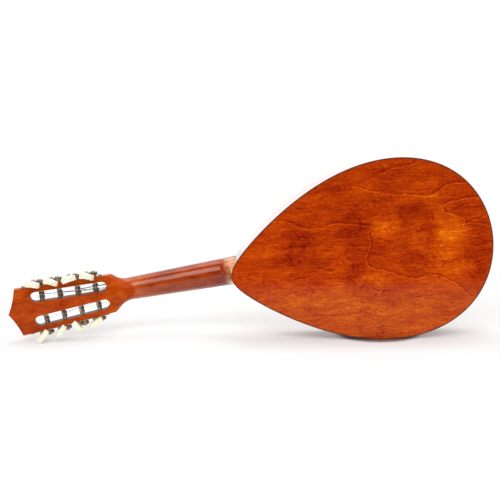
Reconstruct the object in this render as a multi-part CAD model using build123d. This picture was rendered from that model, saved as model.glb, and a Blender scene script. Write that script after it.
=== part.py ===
"""Flat-backed mandolin with a slotted headstock, standing on the side of its body.

The instrument is drawn in a design frame: +X runs along its axis from the tip of the body
towards the tail, +Y runs from the back towards the front, and +Z runs across it towards the
bass side. At the end it is turned about Y into the resting frame: the lower side of the body
and the lowest tuner button touch the floor, Z = 0, and the back faces -Y.
"""
from build123d import *
from math import atan, copysign, cos, degrees, exp, hypot, pi, radians, sin, tan
import os

# ---------------------------------------------------------------- driving dimensions, mm
BODY_LENGTH = 334.0
BODY_DEPTH = 58.0
SCALE_LENGTH = 335.0            # nut to bridge
BODY_FRET = 10                  # fret at the tip of the body
LAST_FRET = 17

# Half width of the body: sin(t) * (sum of WIDTH_TERMS[k] * cos(k t)), t = 0 at the tip.
WIDTH_TERMS = (104.1, -42.6, -6.15, -1.8)

PLATE_THICKNESS = 2.5           # back plate and soundboard
RIB_THICKNESS = 2.0
BINDING_WIDTH = 1.4
GLUE_GAP = 0.05                 # between curved faces that are glued together
LINING_WIDTH = 5.0
LINING_HEIGHT = 8.0
NECK_BLOCK_LENGTH = 42.0
TAIL_BLOCK_LENGTH = 20.0
TAIL_BLOCK_WIDTH = 80.0

SOUNDHOLE_X = 106.0
SOUNDHOLE_RADIUS = 25.0
ROSETTE_INNER = 28.0
ROSETTE_OUTER = 33.0
INLAY_DEPTH = 1.0

NUT_WIDTH = 28.8
NECK_WIDTH_AT_BODY = 36.7
NECK_DEPTH_AT_NUT = 12.0        # without the fingerboard
NECK_DEPTH_AT_BODY = 14.2
HEEL_DEPTH = 41.0               # beyond the neck's own depth, at the tip of the body
HEEL_RADIUS = 4.4               # how fast the heel rises out of the neck
BOARD_THICKNESS = 5.0           # fingerboard
NUT_LENGTH = 4.0
NUT_HEIGHT = 7.0
FRET_WIDTH = 1.8
FRET_HEIGHT = 1.0
TANG_WIDTH = 0.6
TANG_DEPTH = 1.8
DOT_RADIUS = 2.6

HEAD_TILT = 10.0                # degrees, backwards
HEAD_THICKNESS = 15.5
HEAD_CORNER_S = 136.0           # distances along the headstock from the nut
HEAD_APEX_S = 149.0
HEAD_HALF_WIDTH = 25.5          # at the first post
HEAD_TAPER = 0.047              # widening on each side, mm per mm
HEAD_TONGUE = 10.0              # the flat back runs to a point this far behind the nut
SHOULDER_S = 12.0               # where the flare from the neck meets the straight side
RAIL_WIDTH = 6.7                # wood outside each slot
SLOT_WIDTH = 13.0
SLOT_LENGTH = 98.0
SLOT_CENTRE_S = 69.0

POST_S = (34.0, 57.0, 80.0, 103.0)
POST_RADIUS = 3.0
POST_SEAT = 4.0                 # depth of the blind seat in the middle web
RUNNING_GAP = 0.05              # radial play of every shaft

TUNER_PLATE_THICKNESS = 1.0
TUNER_PLATE_HEIGHT = 12.6
TUNER_PLATE_START_S = 22.0
TUNER_PLATE_END_S = 129.0
EAR_THICKNESS = 1.3
EAR_WIDTH = 7.0
PLATE_SCREW_S = (25.5, 71.6, 124.5)
PLATE_SCREW_RADIUS = 1.0
PLATE_SCREW_DEPTH = 5.5

GEAR_TEETH = 14
WORM_TO_POST = 8.6              # distance between the two axes
GEAR_RADIUS = 5.8
GEAR_ROOT_RADIUS = 4.6
GEAR_PITCH_RADIUS = 5.3
GEAR_WIDTH = 3.6
GEAR_HUB_RADIUS = 3.9
GEAR_SEAT_RADIUS = 2.4          # stepped end of the post inside the gear
GEAR_SCREW_RADIUS = 1.2
WORM_RADIUS = 3.7
WORM_CORE_RADIUS = 2.6
WORM_JOURNAL_RADIUS = 1.6
WORM_LINE = 4.8                 # height of the worm axis above the side of the headstock
THREAD_TURNS = 3

BUTTON_START = 10.3             # from mid thickness of the headstock, along the worm
BUTTON_LENGTH = 15.2
BUTTON_HALF_WIDTH = 9.4
BUTTON_HALF_THICKNESS = 3.1
BUTTON_EDGE_RADIUS = 1.2
BUTTON_WIDEST = 10.0            # from the start of the button
# How far each button is turned from lying along the headstock, degrees, nut side first.
BUTTON_TURNS_BASS = (-20.0, 10.0, -25.0, -15.0)
BUTTON_TURNS_TREBLE = (-20.0, 59.0, -42.0, -40.0)

BRIDGE_HEIGHT = 9.5
BRIDGE_LENGTH = 104.0
COURSE_SPREAD_NUT = 22.2        # first course to last course
COURSE_SPREAD_BRIDGE = 36.0
PAIR_GAP_NUT = 1.8
PAIR_GAP_BRIDGE = 2.4
STRING_DIAMETERS = (1.0, 0.66, 0.4, 0.28)       # bass course first
STRING_RISE_AT_NUT = 6.3        # underside of the strings above the soundboard plane

TAILPIECE_HOOK_X = 303.0
TAILPIECE_START_X = 291.0
TAILPIECE_HALF_WIDTH = 24.0
TAILPIECE_LEG_DEPTH = 42.0
TAILPIECE_THICKNESS = 1.0
TAILPIECE_SCREW_X = 322.0
TAILPIECE_SCREW_RADIUS = 1.0
TAILPIECE_SCREW_LENGTH = 9.0
END_PIN_DEPTH = 29.0            # above the back
END_PIN_RADIUS = 4.0
END_PIN_HEAD = 5.4              # stands proud of the tailpiece's leg

# ---------------------------------------------------------------- values worked out
FRONT = BODY_DEPTH
TILT = radians(HEAD_TILT)
NUT_X = -SCALE_LENGTH * (1 - 2 ** (-BODY_FRET / 12))
BRIDGE_X = NUT_X + SCALE_LENGTH
NUT_BACK_X = NUT_X - NUT_LENGTH
TAPER_ANGLE = degrees(atan(HEAD_TAPER))
PITCH = 2 * pi * GEAR_PITCH_RADIUS / GEAR_TEETH
LEAD_ANGLE = degrees(atan(PITCH / (2 * pi * (WORM_TO_POST - GEAR_PITCH_RADIUS))))

# Front face of the headstock: s runs to its apex, the second direction is +Z.
HEAD_PLANE = Plane(
    origin=(NUT_X, FRONT + NUT_LENGTH * tan(TILT), 0),
    x_dir=(-cos(TILT), -sin(TILT), 0),
    z_dir=(-sin(TILT), cos(TILT), 0),
)


# ---------------------------------------------------------------- helpers
def outline_point(t, inset=0.0):
    """Point of the body outline at parameter t (radians), moved inwards by inset."""
    u = BODY_LENGTH * (1 - cos(t)) / 2
    v = sin(t) * sum(w * cos(k * t) for k, w in enumerate(WIDTH_TERMS))
    du = BODY_LENGTH * sin(t) / 2
    dv = cos(t) * sum(w * cos(k * t) for k, w in enumerate(WIDTH_TERMS))
    dv -= sin(t) * sum(w * k * sin(k * t) for k, w in enumerate(WIDTH_TERMS))
    size = hypot(du, dv)
    return (u + inset * dv / size, v - inset * du / size)


def outline_face(inset=0.0, points=40):
    """The body outline as a face in (x, z)."""
    ring = [outline_point(2 * pi * (k + 0.5) / points, inset) for k in range(points)]
    return make_face(Spline(*ring, periodic=True))


def slab(face, y_low, y_high):
    """Give a face drawn in (x, z) its depth, from y_low to y_high."""
    return extrude(Plane.XZ.offset(-y_high) * face, amount=y_high - y_low)


def ring(outer_inset, inner_inset, y_low, y_high):
    """A band that follows the body outline."""
    return slab(outline_face(outer_inset), y_low, y_high) - slab(
        outline_face(inner_inset), y_low - 1, y_high + 1
    )


def block(x_low, x_high, y_low, y_high, z_low, z_high):
    """A box between two corners."""
    centre = ((x_low + x_high) / 2, (y_low + y_high) / 2, (z_low + z_high) / 2)
    return Pos(*centre) * Box(x_high - x_low, y_high - y_low, z_high - z_low)


def rod(start, end, radius):
    """A round bar between two points."""
    direction = Vector(*end) - Vector(*start)
    return Plane(origin=start, z_dir=direction) * Cylinder(
        radius, direction.length, align=(Align.CENTER, Align.CENTER, Align.MIN)
    )


def tube_along_z(radius, low, high):
    """A cylinder about the local Z axis between two heights."""
    return Pos(0, 0, low) * Cylinder(
        radius, high - low, align=(Align.CENTER, Align.CENTER, Align.MIN)
    )


def fret_x(number):
    """Place of a fret along the instrument."""
    return NUT_X + SCALE_LENGTH * (1 - 2 ** (-number / 12))


def board_half_width(x):
    """Half width of the neck and the fingerboard."""
    return (NUT_WIDTH + (NECK_WIDTH_AT_BODY - NUT_WIDTH) * (x - NUT_X) / -NUT_X) / 2


def head_half_width(s):
    """Half width of the straight part of the headstock."""
    return HEAD_HALF_WIDTH + HEAD_TAPER * (s - POST_S[0])


def side_plane(s):
    """Bass-side face of the headstock at s: X to the apex, Y to the back, Z outwards."""
    middle = HEAD_PLANE.offset(-HEAD_THICKNESS / 2)
    origin = middle.from_local_coords((s, head_half_width(s), 0))
    turn = radians(TAPER_ANGLE)
    along = middle.x_dir * cos(turn) + middle.y_dir * sin(turn)
    outwards = middle.x_dir * -sin(turn) + middle.y_dir * cos(turn)
    return Plane(origin=origin, x_dir=along, z_dir=outwards)


def treble(shape):
    """The same piece on the treble side."""
    return mirror(shape, about=Plane.XY)


# ---------------------------------------------------------------- body
def back_plate():
    return slab(outline_face(BINDING_WIDTH + GLUE_GAP), 0, PLATE_THICKNESS)


def soundboard():
    plate = slab(outline_face(BINDING_WIDTH + GLUE_GAP), FRONT - PLATE_THICKNESS, FRONT)
    hole = Plane.XZ.offset(-FRONT) * Pos(SOUNDHOLE_X, 0) * Circle(SOUNDHOLE_RADIUS)
    groove = Plane.XZ.offset(-FRONT) * Pos(SOUNDHOLE_X, 0) * (
        Circle(ROSETTE_OUTER) - Circle(ROSETTE_INNER)
    )
    plate -= extrude(hole, amount=PLATE_THICKNESS * 2, both=True)
    plate -= extrude(groove, amount=INLAY_DEPTH)
    for cutter in tailpiece_pilots():
        plate -= cutter
    return plate


def rosette():
    band = Circle(ROSETTE_OUTER - GLUE_GAP) - Circle(ROSETTE_INNER + GLUE_GAP)
    return extrude(Plane.XZ.offset(-FRONT) * Pos(SOUNDHOLE_X, 0) * band, amount=INLAY_DEPTH)


def pickguard():
    """A thin teardrop guard beside the soundhole on the treble side."""
    start = (SOUNDHOLE_X - 4, -ROSETTE_OUTER - 3)
    far = (SOUNDHOLE_X + 58, -ROSETTE_OUTER - 6)
    outline = Spline(
        start,
        (SOUNDHOLE_X + 20, -ROSETTE_OUTER + 3),
        (SOUNDHOLE_X + 42, -ROSETTE_OUTER + 9),
        far,
        (SOUNDHOLE_X + 40, -ROSETTE_OUTER - 34),
        (SOUNDHOLE_X + 8, -ROSETTE_OUTER - 26),
        periodic=True,
    )
    return slab(make_face(outline), FRONT, FRONT + 0.8)


def binding(y_low, y_high):
    return ring(0, BINDING_WIDTH, y_low, y_high)


def ribs():
    """The two bent sides, meeting on the axis at the tip and at the tail."""
    whole = ring(0, RIB_THICKNESS, PLATE_THICKNESS, FRONT - PLATE_THICKNESS)
    halves = []
    for low, high in ((0, BODY_LENGTH), (-BODY_LENGTH, 0)):
        half = whole & block(-1, BODY_LENGTH + 1, -1, FRONT + 1, low, high)
        half -= end_pin_hole()
        for cutter in tailpiece_pilots():
            half -= cutter
        halves.append(half)
    return halves


def inside(inset, y_low, y_high):
    """The hollow of the body, inset from the outline."""
    return slab(outline_face(inset), y_low, y_high)


def neck_block():
    room = inside(RIB_THICKNESS + GLUE_GAP, PLATE_THICKNESS, FRONT - PLATE_THICKNESS)
    return room & block(-1, NECK_BLOCK_LENGTH, -1, FRONT + 1, -BODY_LENGTH, BODY_LENGTH)


def tail_block():
    room = inside(RIB_THICKNESS + GLUE_GAP, PLATE_THICKNESS, FRONT - PLATE_THICKNESS)
    half = TAIL_BLOCK_WIDTH / 2
    start = BODY_LENGTH - TAIL_BLOCK_LENGTH
    piece = room & block(start, BODY_LENGTH + 1, -1, FRONT + 1, -half, half)
    for cutter in tailpiece_pilots():
        piece -= cutter
    return piece - end_pin_hole()


def linings():
    """Glue strips round the inside, two along the back and two along the front."""
    outer = RIB_THICKNESS + GLUE_GAP
    low_band = ring(outer, outer + LINING_WIDTH, PLATE_THICKNESS, PLATE_THICKNESS + LINING_HEIGHT)
    top = FRONT - PLATE_THICKNESS
    high_band = ring(outer, outer + LINING_WIDTH, top - LINING_HEIGHT, top)
    keep = block(
        NECK_BLOCK_LENGTH + GLUE_GAP, BODY_LENGTH, -1, FRONT + 1, -BODY_LENGTH, BODY_LENGTH
    )
    half = TAIL_BLOCK_WIDTH / 2 + GLUE_GAP
    tail = block(BODY_LENGTH - 40, BODY_LENGTH, -2, FRONT + 2, -half, half)
    strips = (low_band & keep) - tail
    strips += (high_band & keep) - tail
    return strips


def brace(x, width, y_low, y_high):
    """A bar across the body that stops at the linings."""
    room = inside(RIB_THICKNESS + LINING_WIDTH + 3 * GLUE_GAP, y_low, y_high)
    return room & block(x - width / 2, x + width / 2, y_low, y_high, -BODY_LENGTH, BODY_LENGTH)


def top_braces():
    top = FRONT - PLATE_THICKNESS
    return [brace(x, 7, top - height, top) for x, height in ((71, 9), (146, 13), (222, 12))]


def back_braces():
    low = PLATE_THICKNESS
    return [brace(x, 9, low, low + height) for x, height in ((88, 9), (172, 11), (256, 10))]


# ---------------------------------------------------------------- neck and headstock
def neck_section(x, half_width, depth, fullness):
    """Cross-section of the neck wood at x: flat on the front, rounded on the back.

    depth counts from the front of the body; spare wood above it is cut away later.
    fullness 1 is half an ellipse; a larger value is squarer, a smaller one more pointed.
    """
    spare = 3.0
    top = FRONT + spare
    points = []
    steps = 12
    for k in range(steps + 1):
        angle = pi * k / steps
        across = half_width * abs(cos(angle)) ** (1 / fullness)
        across = across if angle < pi / 2 else -across
        points.append((x, top - (depth + spare) * sin(angle) ** (1 / fullness), across))
    back = Spline(*points)
    return make_face(Wire([back.edge(), Line(points[-1], points[0]).edge()]))


def neck_face(x):
    """Cross-section of the plain neck and the heel at x."""
    heel = HEEL_DEPTH * exp(x / HEEL_RADIUS)
    plain = NECK_DEPTH_AT_NUT + (NECK_DEPTH_AT_BODY - NECK_DEPTH_AT_NUT) * (x - NUT_X) / -NUT_X
    fullness = 1.04 - 0.28 * min(1.0, heel / HEEL_DEPTH)
    return neck_section(x, board_half_width(x), plain + heel, fullness)


def neck_blank():
    """Neck wood from inside the headstock to the heel, before its front is cut flat."""
    throat_x = NUT_X + 18
    # The flat back of the headstock cuts this flare, so it narrows to a point behind the nut.
    flare = loft([
        neck_section(NUT_X - 24, 36.0, 44.0, 1.6),
        neck_section(NUT_X - 14, 29.0, 33.0, 1.25),
        neck_section(NUT_X - 8, 23.6, 25.5, 1.08),
        neck_section(NUT_X - 2, 18.8, 19.4, 1.04),
        neck_section(NUT_X + 4, 16.0, 15.4, 1.04),
        neck_section(NUT_X + 10, 15.0, 13.1, 1.04),
        neck_face(throat_x - 1),
        neck_face(throat_x),
    ])
    heel_start = -40.0
    shaft = loft([neck_face(throat_x), neck_face(heel_start)])
    stations = (heel_start, heel_start + 1, -31, -24, -18, -13, -9, -6, -4, -2, 0)
    heel = loft([neck_face(x) for x in stations])
    root = extrude(neck_face(0), amount=11, dir=(1, 0, 0))
    return flare + shaft + heel + root


def head_outline():
    """Outline of neck and headstock in the plane of the headstock's front, as a face."""
    neck_s = -200.0
    clear = 26.0                                # wider than the neck and the heel
    flare = (
        (-20.0, NUT_WIDTH / 2 + 0.35),
        (-9.0, 14.9),
        (-3.0, 15.7),
        (2.0, 17.5),
        (7.0, 21.0),
        (SHOULDER_S, head_half_width(SHOULDER_S)),
    )
    corner = (HEAD_CORNER_S, head_half_width(HEAD_CORNER_S))
    apex = (HEAD_APEX_S, 0)
    side = Spline(*flare, tangents=((1, 0.0), (1, 0.3)))
    end_middle = ((corner[0] + apex[0]) / 2 - 1.3, corner[1] / 2)
    half = [
        Line((neck_s, 0), (neck_s, clear)),
        Line((neck_s, clear), (flare[0][0], clear)),
        Line((flare[0][0], clear), flare[0]),
        side,
        Line(flare[-1], corner),
        ThreePointArc(corner, end_middle, apex),
        Line(apex, (neck_s, 0)),
    ]
    face = make_face(Wire([piece.edge() for piece in half]))
    return face + mirror(face, about=Plane.XZ)


def slot_cutters():
    """The two long string slots, each with a ramp at its nut end."""
    centre = (SLOT_CENTRE_S, head_half_width(SLOT_CENTRE_S) - RAIL_WIDTH - SLOT_WIDTH / 2)
    shape = Pos(*centre) * Rot(0, 0, TAPER_ANGLE) * SlotOverall(SLOT_LENGTH, SLOT_WIDTH)
    slot = extrude(HEAD_PLANE * shape, amount=HEAD_THICKNESS * 2, both=True)
    ramp_s = SLOT_CENTRE_S - SLOT_LENGTH / 2 + 4
    ramp_z = centre[1] - HEAD_TAPER * SLOT_LENGTH / 2
    ramp = HEAD_PLANE * Pos(ramp_s, ramp_z, 0) * Rot(0, 24, 0) * Box(20, SLOT_WIDTH - 3, 7)
    return [slot + ramp, treble(slot + ramp)]


def wood_holes():
    """Seats of the string posts and pilot holes of the tuner plates' screws, bass side."""
    depth = RAIL_WIDTH + SLOT_WIDTH + POST_SEAT + RUNNING_GAP
    for s in POST_S:
        yield side_plane(s) * tube_along_z(POST_RADIUS + RUNNING_GAP, -depth, 1)
    for s in PLATE_SCREW_S:
        yield side_plane(s) * tube_along_z(PLATE_SCREW_RADIUS + 0.02, -PLATE_SCREW_DEPTH, 1)


def neck_and_headstock():
    """One blank, cut by the scarf joint into the neck and the headstock."""
    joint_s = SHOULDER_S + 1
    outline = head_outline()
    plate = extrude(HEAD_PLANE * outline, amount=-HEAD_THICKNESS)
    plate &= HEAD_PLANE * block(joint_s, HEAD_APEX_S + 10, -100, 100, -100, 100)
    # Trimmed by its flat front faces, by the flat back of the headstock and by the flare.
    heel_x = 11.0
    front_end = HEAD_PLANE.from_local_coords((joint_s, 0, 0))
    back_end = HEAD_PLANE.from_local_coords((joint_s, 0, -HEAD_THICKNESS))
    back_start = HEAD_PLANE.from_local_coords((-HEAD_TONGUE, 0, -HEAD_THICKNESS))
    profile = Polyline(
        (heel_x, FRONT),
        (NUT_BACK_X, FRONT),
        (front_end.X, front_end.Y),
        (back_end.X, back_end.Y),
        (back_start.X, back_start.Y),
        (back_start.X, 0),
        (heel_x, 0),
        close=True,
    )
    trim = extrude(make_face(profile), amount=60, both=True)
    flare = extrude(HEAD_PLANE * outline, amount=120, both=True)
    body_room = slab(outline_face(-GLUE_GAP), -1, FRONT + 1)
    blank = ((neck_blank() & trim) & flare) - body_room
    blank += plate
    for cutter in slot_cutters():
        blank -= cutter
    for hole in wood_holes():
        blank -= hole
        blank -= treble(hole)
    front_edge = Vector(NUT_BACK_X - 2, FRONT - 0.5, 0)
    back_edge = Vector(NUT_X + 34, FRONT - 20, 0)
    scarf = Plane(
        origin=front_edge, x_dir=(0, 0, 1), z_dir=(back_edge - front_edge).cross(Vector(0, 0, 1))
    )
    pieces = split(blank, bisect_by=scarf, keep=Keep.BOTH).solids()
    pieces = sorted(pieces, key=lambda piece: piece.center().X)
    return pieces[-1], pieces[0]


def dot_places():
    """Centres of the position dots, one between two frets, two at frets 12 and 15."""
    for number in (5, 7, 10):
        yield (fret_x(number) + fret_x(number - 1)) / 2, 0
    for number in (12, 15):
        x = (fret_x(number) + fret_x(number - 1)) / 2
        yield x, 7.5
        yield x, -7.5


def fingerboard():
    end_x = fret_x(LAST_FRET) + 5
    near, far = board_half_width(NUT_X), board_half_width(end_x)
    shape = make_face(
        Polyline((NUT_X, -near), (end_x, -far), (end_x, far), (NUT_X, near), close=True)
    )
    board = slab(shape, FRONT, FRONT + BOARD_THICKNESS)
    top = FRONT + BOARD_THICKNESS
    for number in range(1, LAST_FRET + 1):
        x = fret_x(number)
        half = TANG_WIDTH / 2
        board -= block(x - half, x + half, top - TANG_DEPTH, top + 1, -40, 40)
    for x, z in dot_places():
        board -= Pos(x, top, z) * Rot(90, 0, 0) * Cylinder(DOT_RADIUS, 2 * INLAY_DEPTH)
    return board


def position_dots():
    top = FRONT + BOARD_THICKNESS
    disc = Rot(90, 0, 0) * tube_along_z(DOT_RADIUS - GLUE_GAP, 0, INLAY_DEPTH)
    return [Pos(x, top, z) * disc for x, z in dot_places()]


def frets():
    """Wires with a rounded crown on the board and a tang in its slot."""
    top = FRONT + BOARD_THICKNESS
    half = FRET_WIDTH / 2
    tang = TANG_WIDTH / 2
    crown = [
        ThreePointArc((-half, 0), (0, FRET_HEIGHT), (half, 0)).edge(),
        Line((half, 0), (-half, 0)).edge(),
    ]
    section = make_face(Wire(crown)) + make_face(
        Polyline((-tang, 0.2), (tang, 0.2), (tang, -TANG_DEPTH), (-tang, -TANG_DEPTH), close=True)
    )
    wires = []
    for number in range(1, LAST_FRET + 1):
        x = fret_x(number)
        length = board_half_width(x) - 0.3
        wires.append(Pos(x, top, 0) * extrude(section, amount=length, both=True))
    return wires


# ---------------------------------------------------------------- strings and what carries them
def string_lines():
    """Lateral place at the nut and at the bridge, and radius, for each string."""
    courses = len(STRING_DIAMETERS)
    for course, diameter in enumerate(STRING_DIAMETERS):
        share = 0.5 - course / (courses - 1)
        for pair in (0.5, -0.5):
            nut_z = share * COURSE_SPREAD_NUT + pair * PAIR_GAP_NUT
            bridge_z = share * COURSE_SPREAD_BRIDGE + pair * PAIR_GAP_BRIDGE
            yield nut_z, bridge_z, diameter / 2


def post_for(nut_z):
    """Post of a string: the outermost string goes to the post nearest the nut."""
    outer = [abs(z) for z, _, _ in string_lines() if z * nut_z > 0]
    return sum(z > abs(nut_z) + 0.01 for z in outer)


def string_route(nut_z, bridge_z, radius):
    """Corner points of a string from its hook on the tailpiece to its post."""
    side = 1 if nut_z > 0 else -1
    number = post_for(nut_z)
    s = POST_S[number]
    slot_z = head_half_width(s) - RAIL_WIDTH - SLOT_WIDTH / 2
    outwards = 1.2 if number == 3 else 0.0
    above = -HEAD_THICKNESS / 2 + POST_RADIUS + radius + 0.35
    post = HEAD_PLANE.from_local_coords((s, side * (slot_z + outwards), above))
    return (
        (TAILPIECE_HOOK_X - 1.6, FRONT + 3.4, bridge_z),
        (BRIDGE_X, FRONT + BRIDGE_HEIGHT + radius + 0.04, bridge_z),
        (NUT_BACK_X - 1.0, FRONT + STRING_RISE_AT_NUT + radius, nut_z),
        (post.X, post.Y, post.Z),
    )


def string(nut_z, bridge_z, radius):
    path = FilletPolyline(*string_route(nut_z, bridge_z, radius), radius=[8.0, 2.0])
    return sweep(Plane(origin=path @ 0, z_dir=path % 0) * Circle(radius), path=path)


def nut():
    """A bone block with a notch for each string."""
    half = NUT_WIDTH / 2
    side = Polyline(
        (NUT_BACK_X, FRONT),
        (NUT_X, FRONT),
        (NUT_X, FRONT + NUT_HEIGHT + 0.2),
        (NUT_X - 1.6, FRONT + NUT_HEIGHT + 0.2),
        (NUT_BACK_X, FRONT + NUT_HEIGHT - 0.5),
        close=True,
    )
    piece = extrude(make_face(side), amount=half, both=True)
    for nut_z, _, radius in string_lines():
        low = FRONT + STRING_RISE_AT_NUT - 0.08
        room = radius + 0.15
        piece -= block(NUT_BACK_X - 1, NUT_X + 1, low, FRONT + 10, nut_z - room, nut_z + room)
    return piece


def bridge():
    """Floating bridge: a wooden base with two feet, and a bone saddle let into its top."""
    half = BRIDGE_LENGTH / 2
    saddle_half = COURSE_SPREAD_BRIDGE / 2 + 4
    crest = FRONT + BRIDGE_HEIGHT - 2.5
    right = (
        (0, crest),
        (saddle_half + 4, crest),
        (half - 16, FRONT + 3.4),
        (half, FRONT + 2.2),
        (half, FRONT),
        (half - 26, FRONT),
        (half - 30, FRONT + 1.6),
        (0, FRONT + 1.6),
    )
    across = Plane(origin=(BRIDGE_X, 0, 0), x_dir=(0, 0, 1), z_dir=(-1, 0, 0))
    half_view = make_face(Polyline(*right, close=True))
    front_view = half_view + mirror(half_view, about=Plane.YZ)
    base = extrude(across * front_view, amount=4.0, both=True)
    floor = crest - 2
    base -= block(BRIDGE_X - 1.5, BRIDGE_X + 1.5, floor, crest + 9, -saddle_half, saddle_half)
    edge = 1.5
    saddle_end = [
        Line((-edge, crest + 1.6), (-edge, floor)).edge(),
        Line((-edge, floor), (edge, floor)).edge(),
        Line((edge, floor), (edge, crest + 1.6)).edge(),
        ThreePointArc((edge, crest + 1.6), (0, crest + 2.5), (-edge, crest + 1.6)).edge(),
    ]
    saddle = Pos(BRIDGE_X, 0, 0) * extrude(
        make_face(Wire(saddle_end)), amount=saddle_half, both=True
    )
    return base, saddle


def tailpiece_screw_places():
    """Where the tailpiece screws enter: two from the front and two in the tail."""
    for z in (-14.0, 14.0):
        yield Pos(TAILPIECE_SCREW_X, FRONT + TAILPIECE_THICKNESS, z) * Rot(-90, 0, 0)
    for z in (-5.5, 5.5):
        yield Pos(BODY_LENGTH + TAILPIECE_THICKNESS, FRONT - 12, z) * Rot(0, 90, 0)


def tailpiece_pilots():
    for place in tailpiece_screw_places():
        yield place * tube_along_z(TAILPIECE_SCREW_RADIUS + 0.02, -TAILPIECE_SCREW_LENGTH, 3)


def tailpiece():
    """Stamped plate over the tail edge, with one hook for each string."""
    thick = TAILPIECE_THICKNESS
    end = BODY_LENGTH
    half = TAILPIECE_HALF_WIDTH
    leg_half = 9.0
    shape = Polyline(
        (TAILPIECE_START_X, -half),
        (TAILPIECE_START_X, half),
        (TAILPIECE_START_X + 18, half),
        (end, leg_half),
        (end + thick, leg_half),
        (end + thick, -leg_half),
        (end, -leg_half),
        (TAILPIECE_START_X + 18, -half),
        close=True,
    )
    plate = slab(make_face(shape), FRONT, FRONT + thick)
    leg_low = FRONT - TAILPIECE_LEG_DEPTH
    plate += block(end, end + thick, leg_low, FRONT + thick, -leg_half, leg_half)
    for _, bridge_z, _ in string_lines():
        hook = Rot(-90, 0, 0) * tube_along_z(0.85, 0.5, 5.0)
        plate += Pos(TAILPIECE_HOOK_X, FRONT, bridge_z) * hook
    plate += block(TAILPIECE_START_X, TAILPIECE_START_X + 1.2, FRONT, FRONT + 2.2, -half, half)
    for cutter in tailpiece_pilots():
        plate -= cutter
    return plate - end_pin_hole()


def round_head_screw(head_radius, head_height, shank_radius, shank_length):
    """Slotted screw: the head stands on Z = 0 and the shank points down."""
    head = tube_along_z(head_radius, 0, head_height)
    head = fillet(head.edges().group_by(Axis.Z)[-1], head_height * 0.55)
    head -= Pos(0, 0, head_height) * Box(head_radius * 3, 0.5, head_height * 0.9)
    return head + tube_along_z(shank_radius, -shank_length, 0.1)


def tailpiece_screws():
    screw = round_head_screw(1.9, 1.2, TAILPIECE_SCREW_RADIUS, TAILPIECE_SCREW_LENGTH - 0.5)
    return [place * screw for place in tailpiece_screw_places()]


def end_pin_hole():
    start = (BODY_LENGTH - 30, END_PIN_DEPTH, 0)
    return rod(start, (BODY_LENGTH + 5, END_PIN_DEPTH, 0), END_PIN_RADIUS + GLUE_GAP)


def end_pin():
    """Turned button in the tail: peg, waist for a strap and rounded head."""
    base = BODY_LENGTH + TAILPIECE_THICKNESS
    end = base + END_PIN_HEAD
    waist = Spline(
        (base, 5.2), (base + 1.7, 3.9), (base + 3.4, 5.4), (base + 4.6, 4.4), (end, 0),
        tangents=((0.6, -1), (0, -1)),
    )
    sides = [Line((base, 0), (base, 5.2)), waist, Line((end, 0), (base, 0))]
    head = revolve(make_face(Wire([side.edge() for side in sides])), axis=Axis.X)
    peg = rod((base - 18, 0, 0), (base, 0, 0), END_PIN_RADIUS)
    return Pos(0, END_PIN_DEPTH, 0) * (head + peg)


# ---------------------------------------------------------------- tuning machines, bass side
def tuner_plate():
    """Strip on the side of the headstock with two bearing ears for each worm."""
    length = TUNER_PLATE_END_S - TUNER_PLATE_START_S
    middle = (TUNER_PLATE_START_S + TUNER_PLATE_END_S) / 2
    half = TUNER_PLATE_HEIGHT / 2
    shape = RectangleRounded(length, TUNER_PLATE_HEIGHT, 3)
    strip = side_plane(middle) * extrude(shape, amount=TUNER_PLATE_THICKNESS)
    foot = Pos(0, WORM_LINE / 2 + 0.25) * Rectangle(EAR_WIDTH, WORM_LINE - 0.5)
    ear_shape = Pos(0, WORM_LINE) * Circle(EAR_WIDTH / 2) + foot
    towards_front = Plane(origin=(WORM_TO_POST, 0, 0), x_dir=(1, 0, 0), z_dir=(0, -1, 0))
    bore = towards_front * Pos(0, WORM_LINE, 0) * Cylinder(
        WORM_JOURNAL_RADIUS + RUNNING_GAP, 2 * TUNER_PLATE_HEIGHT
    )
    for s in POST_S:
        for level in (-half, half - EAR_THICKNESS):
            ear = extrude(towards_front.offset(level) * ear_shape, amount=EAR_THICKNESS)
            strip += side_plane(s) * ear
        strip -= side_plane(s) * bore
        strip -= side_plane(s) * tube_along_z(POST_RADIUS + RUNNING_GAP, -1, 2)
    for s in PLATE_SCREW_S:
        strip -= side_plane(s) * tube_along_z(PLATE_SCREW_RADIUS + 0.02, -1, 2)
    return strip


def plate_screws():
    screw = round_head_screw(2.2, 1.5, PLATE_SCREW_RADIUS, PLATE_SCREW_DEPTH)
    return [side_plane(s) * Pos(0, 0, TUNER_PLATE_THICKNESS) * screw for s in PLATE_SCREW_S]


def string_post(s):
    """Post with a string hole, stepped at its outer end for the gear."""
    inner_end = -(RAIL_WIDTH + SLOT_WIDTH + POST_SEAT)
    post = tube_along_z(POST_RADIUS, inner_end, TUNER_PLATE_THICKNESS + 0.1)
    post += tube_along_z(GEAR_SEAT_RADIUS, TUNER_PLATE_THICKNESS, WORM_LINE)
    post -= tube_along_z(GEAR_SCREW_RADIUS + 0.02, WORM_LINE - 4, WORM_LINE + 1)
    post -= Pos(0, 0, -(RAIL_WIDTH + SLOT_WIDTH / 2)) * Rot(90, 0, 0) * Cylinder(0.8, 20)
    return side_plane(s) * post


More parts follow.
